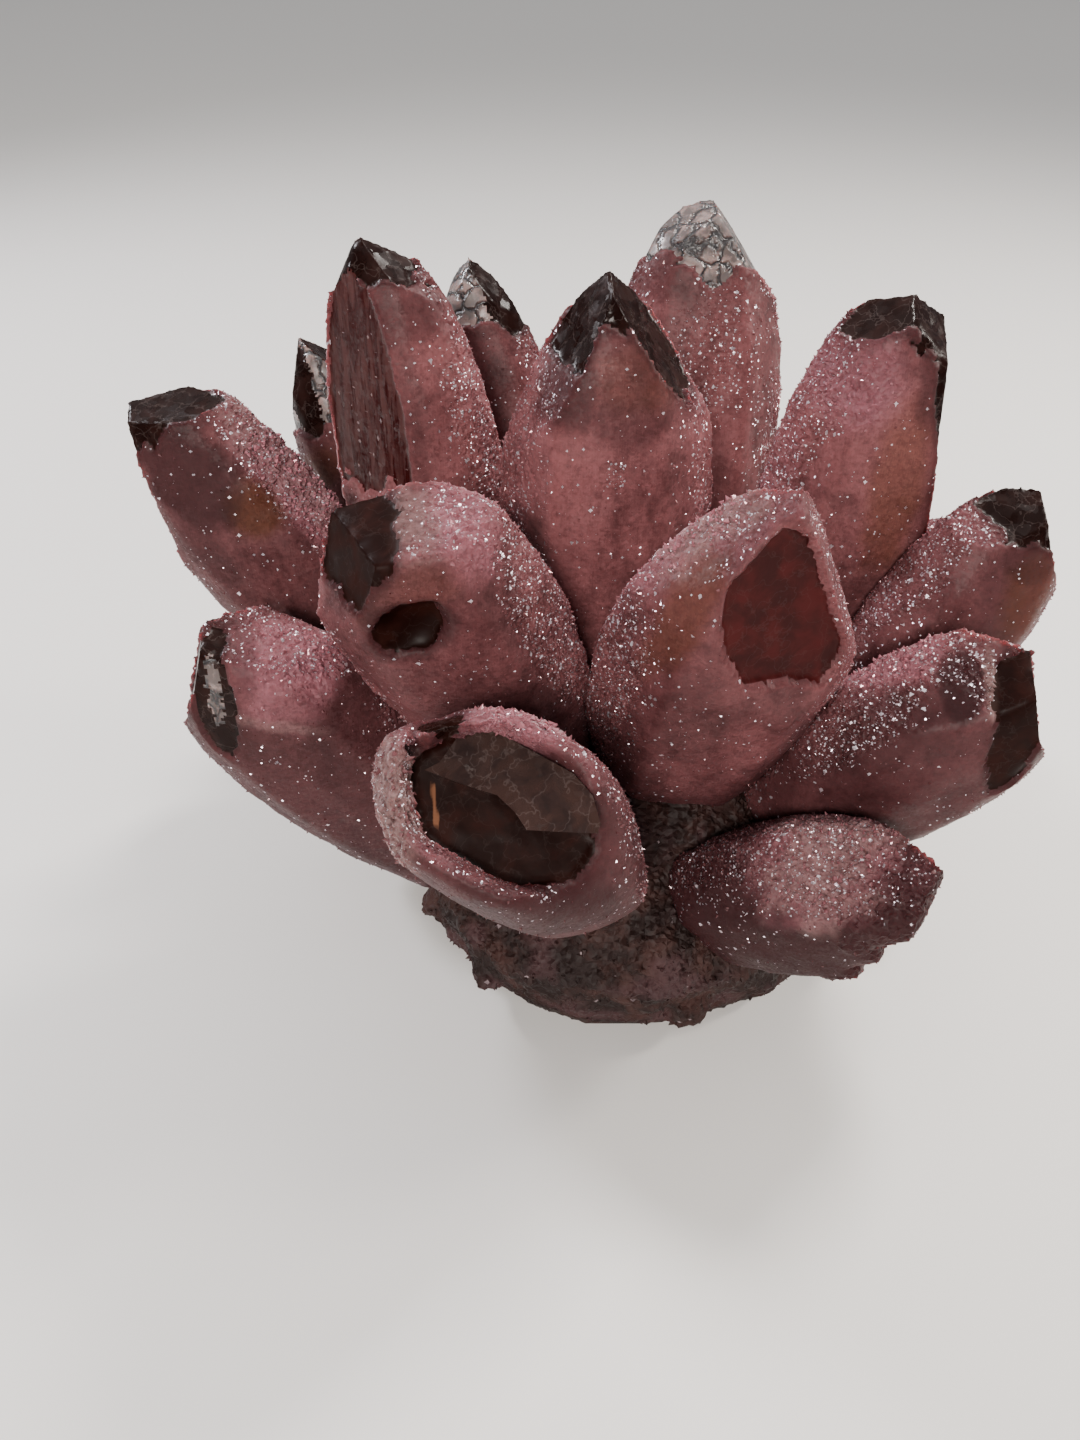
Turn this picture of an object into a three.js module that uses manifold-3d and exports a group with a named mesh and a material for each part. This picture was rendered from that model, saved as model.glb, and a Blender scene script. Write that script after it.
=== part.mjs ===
// An amethyst cluster, the kind sold as a crystal flower: leaf-shaped quartz points
// with a sugary druse coat spread like petals from a dark, lumpy piece of matrix
// that is sawn flat underneath. Millimetres, +Z up, origin at the centre of the
// sawn face, with -Y towards the viewer of the best side.
import * as THREE from "three";
import { mergeVertices } from "three/addons/utils/BufferGeometryUtils.js";
import Module from "manifold-3d";

const wasm = await Module();
wasm.setup();

const DRUSE_COLOUR = 0x6e4449;
const MATRIX_COLOUR = 0x2b1d20;
const GAP = 0.32; // clear space between solids that touch in the real cluster

// The matrix: a squat dome on a sawn foot.
const FOOT_RADIUS = 31;
const GIRTH_RADIUS = 36;
const GIRTH_HEIGHT = 13;
const DOME_TOP = 43;
const FLARE = 0.4; // how far up to the girth it widens fastest, as a share
const SHOULDERS = [[0.93, 21], [0.76, 29], [0.48, 38]]; // share of the girth's radius, and height
const DOME_GROWTH = 0.5; // how much a clearance raises it, against how much it widens it
const MATRIX_SIDES = 26;
const MATRIX_LUMP = 0.07; // share of the radius that its lumps rise or sink
const LOBE = 0.15; // share by which it is fuller on the viewer's right front
const LOBE_BEARING = -Math.PI / 6;
const STUB_COUNT = 22; // stubby little points round its lower edge
const STUB_LENGTH = 6.5;
const STUB_RADIUS = 3;
const STUB_SIZES = [0.75, 1.25]; // least and most, against the sizes above
const STUB_SHAFT = 0.6; // share of a stub's length before it narrows to its point
const STUB_PLACE = 0.86; // distance of its foot from the middle, as a share of the girth's
const STUB_HEIGHTS = [0.35, 0.9]; // as a share of the girth's height
const STUB_LEANS = [0.15, 0.65]; // upwards from lying flat, in radians
const STUB_STRAY = 0.6; // how unevenly they are spaced round the foot

// A point is a rounded six-sided leaf: narrow at its root, widest at its belly.
const POINT_SIDES = 12;
const POINT_RINGS = [0, 0.14, 0.3, 0.45, 0.6, 0.74, 0.86, 0.94, 1];
const ROOT_SHARE = 0.5; // radius at the root, as a share of the belly's
const BELLY = 0.62; // how far along a point is widest
const END_SHARE = 0.24; // radius at the very end, before the flat faces cut it
const TAPER = 0.7; // below 1 keeps the shoulders full
const END_RISE = 1.02; // the leaf's middle stands this much past its last ring
const LEDGE_PLACE = 0.6; // how far along the first broken step starts
const LEDGE_RISE = 0.09; // how much further along each next one starts
const LEDGE_ASIDE = 0.3; // how far aside the first one is, as a share of the width
const LEDGE_SPREAD = 0.12; // how far apart they are across, in the same measure
const PIT_STRETCH = [1.3, 1, 0.8]; // a pit's width, height and depth against its size
const WAVER = 0.05; // how uneven the edges of a point are, as a share of its radius
const CORNER_SHARE = 0.93; // radius between two of the six edges, against at an edge
const CUTTER = 120; // size of the block that cuts a flat face

// Each point has its root and tip, width across, and thickness as a share of that.
// It may also have the roll of its broad side in degrees, where its belly is and how
// full its end is (else the values above), and the bow of its middle in millimetres
// to the viewer's right and to the front. Faces are its flat end faces, each
// [bearing, tilt, place]: bearing 0 faces the viewer and 90 the viewer's right, tilt
// is between the point's axis and the face's normal, and place is how far along the
// axis the face crosses it. A window is a recess inside a rim, down to a floor that
// is given as a face is, and its lift is how far in front of the point it opens. A pit
// is [how far along, mm to the right, size] on the front, and ledges are steps broken
// out of the end.
const POINTS = [
  {
    name: "point_top_front",
    root: [-1, -2, 26], tip: [-3, -5, 95], width: 26.5, thick: 0.74,
    faces: [[75, 55, 1.0], [-70, 60, 1.0], [180, 50, 1.02], [10, 66, 1.08]],
  },
  {
    name: "point_top_back",
    root: [9, 11, 26], tip: [11.5, 26, 97], width: 25, thick: 0.7, bow: [0.5, 0],
    faces: [[-40, 38, 0.98], [75, 52, 1.0], [180, 45, 1.0]],
  },
  {
    name: "point_top_left",
    root: [-12, 4, 26], tip: [-30, 6, 96], width: 24, thick: 0.74, roll: 10, bow: [-4, 0],
    faces: [[-42, 80, 1.28], [70, 52, 0.99], [170, 50, 1.0], [-20, 62, 1.05]],
  },
  {
    name: "point_top_right",
    root: [16, 4, 26], tip: [34, 4, 92], width: 28, thick: 0.66, bow: [6, 0],
    faces: [[-62, 44, 0.97], [80, 70, 1.17], [180, 45, 0.98], [40, 34, 0.975]],
  },
  {
    name: "point_back_small",
    root: [-6, 13, 28], tip: [-21, 28, 88], width: 17, thick: 0.8,
    faces: [[-50, 50, 1.0], [60, 60, 1.02], [180, 50, 1.0]],
  },
  {
    name: "point_left_behind",
    root: [-21, 13, 24], tip: [-44.5, 24, 79], width: 18, thick: 0.76, belly: 0.64,
    faces: [[-30, 60, 1.02], [-90, 58, 1.0], [90, 55, 1.0], [180, 50, 1.0]],
  },
  {
    name: "point_left_high",
    root: [-20, -4, 25], tip: [-58.5, -2, 82], width: 23, thick: 0.62, belly: 0.64, bow: [-2, 0],
    end: 0.42, faces: [[60, 34, 0.955], [-80, 66, 1.08], [180, 50, 1.0]],
  },
  {
    name: "point_left_low",
    root: [-21, -18, 15], tip: [-51, -23, 62], width: 27, thick: 0.6, belly: 0.62,
    end: 0.4, faces: [[-80, 38, 0.96], [75, 50, 0.995], [180, 50, 1.0]],
  },
  {
    name: "point_front_left",
    root: [-8, -14, 27], tip: [-28, -26, 79], width: 27, thick: 0.6, belly: 0.64,
    end: 0.62, faces: [[70, 16, 0.93], [-55, 52, 1.02], [180, 50, 1.04]],
    pits: [[0.77, -1.5, 7.5]],
  },
  {
    name: "point_front_broken",
    root: [-7, -20, 15], tip: [-15.5, -52, 62], width: 31, thick: 0.7, roll: 34, belly: 0.7,
    end: 0.8, faces: [[60, 12, 0.95], [-90, 56, 1.22], [180, 56, 1.16], [50, 60, 1.14]],
    window: { rim: 3.2, floor: [60, 13, 0.87] },
  },
  {
    name: "point_front_right",
    root: [5.5, -14, 22], tip: [15, -30, 82], width: 30, thick: 0.62, belly: 0.58, end: 0.14,
    faces: [[16, 70, 1.08], [-75, 50, 0.975], [85, 56, 0.99], [180, 50, 1.0]],
    window: { rim: 2.6, lift: 4, floor: [18, 71, 1.02] },
  },
  {
    name: "point_right_high",
    root: [25, -8, 20], tip: [51.5, -7, 71], width: 22.5, thick: 0.68, belly: 0.66, bow: [2, 0],
    faces: [[75, 44, 0.98], [-50, 52, 0.98], [180, 50, 1.0]],
  },
  {
    name: "point_right_middle",
    root: [19, -18, 17.8], tip: [46.5, -28, 60.8], width: 28, thick: 0.6, belly: 0.64,
    end: 0.4, faces: [[80, 36, 0.955], [-70, 56, 1.0], [180, 50, 1.0]],
  },
  {
    name: "point_right_low",
    root: [4, -24, 14], tip: [37, -43, 39], width: 25, thick: 0.72,
    faces: [[60, 34, 0.94], [-60, 62, 1.06], [180, 50, 1.0]], ledges: 3,
  },
  {
    name: "point_back_high",
    root: [2, 19, 24], tip: [2, 52, 76], width: 23, thick: 0.74,
    faces: [[180, 45, 1.0], [90, 55, 1.0], [-90, 55, 1.02], [0, 58, 1.04]],
  },
  {
    name: "point_back_right_high",
    root: [17, 17, 22], tip: [42, 40, 66], width: 22, thick: 0.74,
    faces: [[180, 50, 1.0], [80, 50, 1.0], [-60, 60, 1.04]],
  },
  {
    name: "point_back_left_high",
    root: [-13, 19, 22], tip: [-37, 48, 61], width: 22, thick: 0.76,
    faces: [[180, 45, 1.0], [-80, 50, 1.0], [60, 60, 1.04]],
  },
  {
    name: "point_right_behind",
    root: [23, 8, 20], tip: [59, 19, 51], width: 26, thick: 0.7,
    faces: [[180, 50, 1.0], [60, 45, 0.98], [-60, 60, 1.04]],
  },
  {
    name: "point_left_rear",
    root: [-23, 9, 14], tip: [-60, 20, 38], width: 24, thick: 0.7,
    faces: [[180, 50, 1.0], [-60, 45, 0.98], [60, 60, 1.04]],
  },
  {
    name: "point_back_low",
    root: [8, 22, 14], tip: [15, 58, 34], width: 26, thick: 0.72,
    faces: [[180, 45, 1.0], [60, 50, 1.0], [-60, 60, 1.04]],
  },
  {
    name: "point_back_left_low",
    root: [-12, 22, 13], tip: [-28, 54, 26], width: 19, thick: 0.8,
    faces: [[180, 45, 1.0], [60, 50, 1.0], [-60, 60, 1.04]],
  },
  {
    name: "point_back_right_low",
    root: [22, 18, 12], tip: [48, 42, 27], width: 20, thick: 0.76,
    faces: [[180, 45, 1.0], [60, 50, 1.0], [-60, 60, 1.04]],
  },
  {
    name: "point_right_foot",
    root: [24, -3, 11], tip: [54, -6, 24], width: 21, thick: 0.8,
    faces: [[180, 45, 1.0], [60, 50, 1.0], [-60, 60, 1.04]],
  },
  {
    name: "point_left_foot",
    root: [-22, -2, 10], tip: [-50, -3, 22], width: 19, thick: 0.8,
    faces: [[180, 45, 1.0], [60, 50, 1.0], [-60, 60, 1.04]],
  },
];

// Numbers that look random and are the same on every run.
function steadyRandom(seed) {
  let state = seed * 2654435761;
  return () => {
    state = (state + 0x6d2b79f5) | 0;
    let mixed = Math.imul(state ^ (state >>> 15), 1 | state);
    mixed = (mixed + Math.imul(mixed ^ (mixed >>> 7), 61 | mixed)) ^ mixed;
    return ((mixed ^ (mixed >>> 14)) >>> 0) / 4294967296;
  };
}

function between([low, high], share) {
  return low + (high - low) * share;
}

// A closed geometry as a solid that can be joined and cut.
function solidOf(geometry) {
  const bare = geometry.index ? geometry.toNonIndexed() : geometry.clone();
  bare.deleteAttribute("normal");
  bare.deleteAttribute("uv");
  const merged = mergeVertices(bare, 1e-4);
  return new wasm.Manifold(new wasm.Mesh({
    numProp: 3,
    vertProperties: merged.attributes.position.array,
    triVerts: new Uint32Array(merged.index.array),
  }));
}

function geometryOf(solid) {
  const mesh = solid.getMesh();
  const geometry = new THREE.BufferGeometry();
  geometry.setAttribute("position", new THREE.BufferAttribute(mesh.vertProperties, 3));
  geometry.setIndex(new THREE.BufferAttribute(mesh.triVerts, 1));
  return geometry;
}

// A closed skin over rings of points, from the first ring to the last, with a
// single point closing each end.
function skinOverRings(rings, start, end) {
  const sides = rings[0].length;
  const vertices = [start, ...rings.flat(), end];
  const at = (ring, side) => 1 + ring * sides + (side % sides);
  const triangles = [];
  for (let side = 0; side < sides; side++) {
    triangles.push(0, at(0, side + 1), at(0, side));
    triangles.push(vertices.length - 1, at(rings.length - 1, side), at(rings.length - 1, side + 1));
    for (let ring = 0; ring + 1 < rings.length; ring++) {
      triangles.push(at(ring, side), at(ring, side + 1), at(ring + 1, side));
      triangles.push(at(ring, side + 1), at(ring + 1, side + 1), at(ring + 1, side));
    }
  }
  const geometry = new THREE.BufferGeometry().setFromPoints(vertices);
  geometry.setIndex(triangles);
  return geometry;
}

// The directions of a point: along its axis, towards the viewer and to the right.
function directionsOf(point) {
  const root = new THREE.Vector3(...point.root);
  const tip = new THREE.Vector3(...point.tip);
  const axis = tip.clone().sub(root);
  const length = axis.length();
  axis.normalize();
  const front = new THREE.Vector3(0, -1, 0);
  front.addScaledVector(axis, -front.dot(axis)).normalize();
  const right = axis.clone().cross(front);
  return { root, axis, length, front, right };
}

// A point's radius at a share of its length, as a share of its belly's.
function profileOf(point, along) {
  const belly = point.belly ?? BELLY;
  const end = point.end ?? END_SHARE;
  if (along < belly) {
    return ROOT_SHARE + (1 - ROOT_SHARE) * Math.sin((Math.PI / 2) * (along / belly));
  }
  const past = (along - belly) / (1 - belly);
  return end + (1 - end) * Math.cos((Math.PI / 2) * past) ** TAPER;
}

// A solid cut off flat: what lies past the plane, on its normal's side, is gone.
function cutFlat(solid, origin, normal) {
  const block = new THREE.BoxGeometry(CUTTER, CUTTER, CUTTER);
  block.translate(0, 0, CUTTER / 2);
  const turn = new THREE.Quaternion().setFromUnitVectors(new THREE.Vector3(0, 0, 1), normal);
  block.applyQuaternion(turn);
  block.translate(origin.x, origin.y, origin.z);
  return solid.subtract(solidOf(block));
}

// The uncut leaf of a point, with its radius grown or shrunk by some millimetres.
function leafSolid(point, seed, grow) {
  const random = steadyRandom(seed);
  const { root, axis, length, front, right } = directionsOf(point);
  const roll = THREE.MathUtils.degToRad(point.roll ?? 0);
  const [bowRight, bowFront] = point.bow ?? [0, 0];
  const broad = right.clone().multiplyScalar(Math.cos(roll)).addScaledVector(front, Math.sin(roll));
  const deep = axis.clone().cross(broad);
  const waver = Array.from({ length: POINT_SIDES }, () => 1 + WAVER * (random() - 0.5));
  const rings = POINT_RINGS.map((along) => {
    const radius = (point.width / 2) * profileOf(point, along) + grow;
    return Array.from({ length: POINT_SIDES }, (_, side) => {
      const angle = (2 * Math.PI * side) / POINT_SIDES;
      const uneven = waver[side] * (1 + (WAVER / 2) * (random() - 0.5));
      const share = radius * (side % 2 ? CORNER_SHARE : 1) * uneven;
      return root.clone()
        .addScaledVector(axis, along * length)
        .addScaledVector(right, bowRight * Math.sin(Math.PI * along))
        .addScaledVector(front, bowFront * Math.sin(Math.PI * along))
        .addScaledVector(broad, share * Math.cos(angle))
        .addScaledVector(deep, share * point.thick * Math.sin(angle));
    });
  });
  const end = root.clone().addScaledVector(axis, length * END_RISE);
  return solidOf(skinOverRings(rings, root, end));
}

// Where a flat face crosses the point's axis, and its outward normal.
function planeOf(point, [bearing, tilt, place]) {
  const { root, axis, length, front, right } = directionsOf(point);
  const round = THREE.MathUtils.degToRad(bearing);
  const lean = THREE.MathUtils.degToRad(tilt);
  const normal = axis.clone().multiplyScalar(Math.cos(lean))
    .addScaledVector(front, Math.sin(lean) * Math.cos(round))
    .addScaledVector(right, Math.sin(lean) * Math.sin(round));
  return { origin: root.addScaledVector(axis, length * place), normal };
}

// The recess of a point's window: its leaf less the rim, above the sunk floor. A
// window in the front of a point is lifted clear of the front first.
function windowSolid(point, seed) {
  const { rim, floor, lift = 0 } = point.window;
  const { origin, normal } = planeOf(point, floor);
  const { x, y, z } = directionsOf(point).front.multiplyScalar(lift);
  const leaf = leafSolid(point, seed, -rim).translate([x, y, z]);
  return cutFlat(leaf, origin, normal.negate());
}

// A rounded hollow in the front of a point.
function pitSolid(point, [along, aside, size]) {
  const { root, axis, length, front, right } = directionsOf(point);
  const depth = (point.width / 2) * point.thick * profileOf(point, along);
  const pit = new THREE.IcosahedronGeometry(size / 2, 1);
  pit.scale(...PIT_STRETCH);
  const turn = new THREE.Quaternion().setFromUnitVectors(new THREE.Vector3(0, 1, 0), axis);
  pit.applyQuaternion(turn);
  const centre = root.addScaledVector(axis, length * along)
    .addScaledVector(right, aside).addScaledVector(front, depth);
  pit.translate(centre.x, centre.y, centre.z);
  return solidOf(pit);
}

// A step broken out of a point's end: past its line, all that is further to the
// right and further along is gone, so a few of them make a jagged edge.
function ledgeSolid(point, step) {
  const { root, axis, length, right, front } = directionsOf(point);
  const block = new THREE.BoxGeometry(CUTTER, CUTTER, CUTTER);
  block.translate(CUTTER / 2, CUTTER / 2, 0);
  const turn = new THREE.Quaternion().setFromRotationMatrix(new THREE.Matrix4().makeBasis(right, axis, front));
  block.applyQuaternion(turn);
  const corner = root.addScaledVector(axis, length * (LEDGE_PLACE + LEDGE_RISE * step))
    .addScaledVector(right, point.width * (LEDGE_ASIDE - LEDGE_SPREAD * step));
  block.translate(corner.x, corner.y, corner.z);
  return solidOf(block);
}

function pointSolid(point, seed) {
  let solid = leafSolid(point, seed, 0);
  for (const face of point.faces) {
    const { origin, normal } = planeOf(point, face);
    solid = cutFlat(solid, origin, normal);
  }
  if (point.window) solid = solid.subtract(windowSolid(point, seed));
  for (const pit of point.pits ?? []) solid = solid.subtract(pitSolid(point, pit));
  for (let step = 0; step < (point.ledges ?? 0); step++) solid = solid.subtract(ledgeSolid(point, step));
  return solid;
}

// The matrix dome, or the same dome grown by a clearance.
function matrixSolid(grow) {
  const random = steadyRandom(77);
  const profile = [
    [FOOT_RADIUS, 0],
    [(FOOT_RADIUS + GIRTH_RADIUS) / 2, GIRTH_HEIGHT * FLARE],
    [GIRTH_RADIUS, GIRTH_HEIGHT],
    ...SHOULDERS.map(([share, height]) => [GIRTH_RADIUS * share, height]),
  ];
  const rings = profile.map(([radius, height]) => Array.from({ length: MATRIX_SIDES }, (_, side) => {
    const angle = (2 * Math.PI * side) / MATRIX_SIDES;
    const lump = 1 + MATRIX_LUMP * 2 * (random() - 0.5);
    const lobe = 1 + LOBE * Math.cos(angle - LOBE_BEARING);
    const reach = radius * lump * lobe + grow;
    return new THREE.Vector3(reach * Math.cos(angle), reach * Math.sin(angle), height ? height + grow * DOME_GROWTH : 0);
  }));
  const start = new THREE.Vector3(0, 0, 0);
  const end = new THREE.Vector3(0, 0, DOME_TOP + grow);
  return solidOf(skinOverRings(rings, start, end));
}

// One stubby six-sided little point, lying outwards and a bit down the matrix's side.
function stubSolid(index, random) {
  const angle = (2 * Math.PI * (index + STUB_STRAY * random())) / STUB_COUNT;
  const length = STUB_LENGTH * between(STUB_SIZES, random());
  const radius = STUB_RADIUS * between(STUB_SIZES, random());
  const profile = [[0, 0], [radius, 0], [radius, length * STUB_SHAFT], [0, length]];
  const stub = new THREE.LatheGeometry(profile.map(([x, y]) => new THREE.Vector2(x, y)), 6);
  stub.rotateZ(-Math.PI / 2 + between(STUB_LEANS, random()));
  stub.translate(GIRTH_RADIUS * STUB_PLACE * (1 + LOBE * Math.cos(angle - LOBE_BEARING)), 0, 0);
  stub.rotateZ(angle);
  stub.translate(0, 0, GIRTH_HEIGHT * between(STUB_HEIGHTS, random()));
  return solidOf(stub);
}

// The dome with its stubs, where no point stands in their way.
function matrixWithStubs(leaves) {
  const random = steadyRandom(78);
  let solid = matrixSolid(0);
  for (let index = 0; index < STUB_COUNT; index++) {
    const stub = stubSolid(index, random);
    if (leaves.every((leaf) => leaf.intersect(stub).isEmpty())) solid = solid.add(stub);
  }
  return cutFlat(solid, new THREE.Vector3(0, 0, 0), new THREE.Vector3(0, 0, -1));
}

// Points that graze an earlier one stop just short of it.
function trimmedPoints(leaves) {
  const dome = matrixSolid(GAP);
  return POINTS.map((point, index) => {
    let solid = pointSolid(point, index + 1).subtract(dome);
    for (const leaf of leaves.slice(0, index)) {
      if (!leaf.intersect(solid).isEmpty()) solid = solid.subtract(leaf);
    }
    return solid;
  });
}

function meshOf(name, solid, colour, roughness) {
  const material = new THREE.MeshStandardMaterial({ color: colour, roughness, metalness: 0 });
  const mesh = new THREE.Mesh(geometryOf(solid), material);
  mesh.name = name;
  return mesh;
}

const cluster = new THREE.Group();
cluster.name = "amethyst_cluster";
const leaves = POINTS.map((point, index) => leafSolid(point, index + 1, GAP));
cluster.add(meshOf("matrix", matrixWithStubs(leaves), MATRIX_COLOUR, 0.6));
trimmedPoints(leaves).forEach((solid, index) => {
  cluster.add(meshOf(POINTS[index].name, solid, DRUSE_COLOUR, 0.45));
});

export default cluster;
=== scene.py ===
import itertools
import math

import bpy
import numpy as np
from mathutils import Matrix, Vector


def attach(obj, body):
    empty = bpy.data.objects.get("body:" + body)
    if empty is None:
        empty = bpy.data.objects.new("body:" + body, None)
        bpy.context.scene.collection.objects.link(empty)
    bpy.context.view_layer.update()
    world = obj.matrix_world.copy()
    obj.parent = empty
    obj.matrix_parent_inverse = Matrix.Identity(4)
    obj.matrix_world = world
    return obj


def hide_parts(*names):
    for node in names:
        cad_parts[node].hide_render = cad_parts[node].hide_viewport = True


bl_info = {
    "name": "Amethyst cluster",
    "version": (1, 0, 0),
    "blender": (4, 5, 0),
    "location": "3D View > Sidebar > Amethyst",
    "description": "Grows the druse, the glassy tips and the matrix of an amethyst cluster",
    "category": "Object",
}

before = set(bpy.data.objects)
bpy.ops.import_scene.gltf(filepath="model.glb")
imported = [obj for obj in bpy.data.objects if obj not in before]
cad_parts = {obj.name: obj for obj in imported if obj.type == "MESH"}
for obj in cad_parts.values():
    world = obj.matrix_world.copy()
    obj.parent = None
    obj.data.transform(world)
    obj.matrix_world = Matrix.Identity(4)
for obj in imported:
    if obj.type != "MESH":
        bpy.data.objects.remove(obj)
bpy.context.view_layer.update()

MM = 0.001

# The glassy end that the lowest hidden points share.
PLAIN_END = {"cap": (0.93, "smoky"), "faces": [(180, 45, 1.0, "smoky", 0.78), (60, 50, 1.0, "smoky", 0.84)]}

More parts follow.
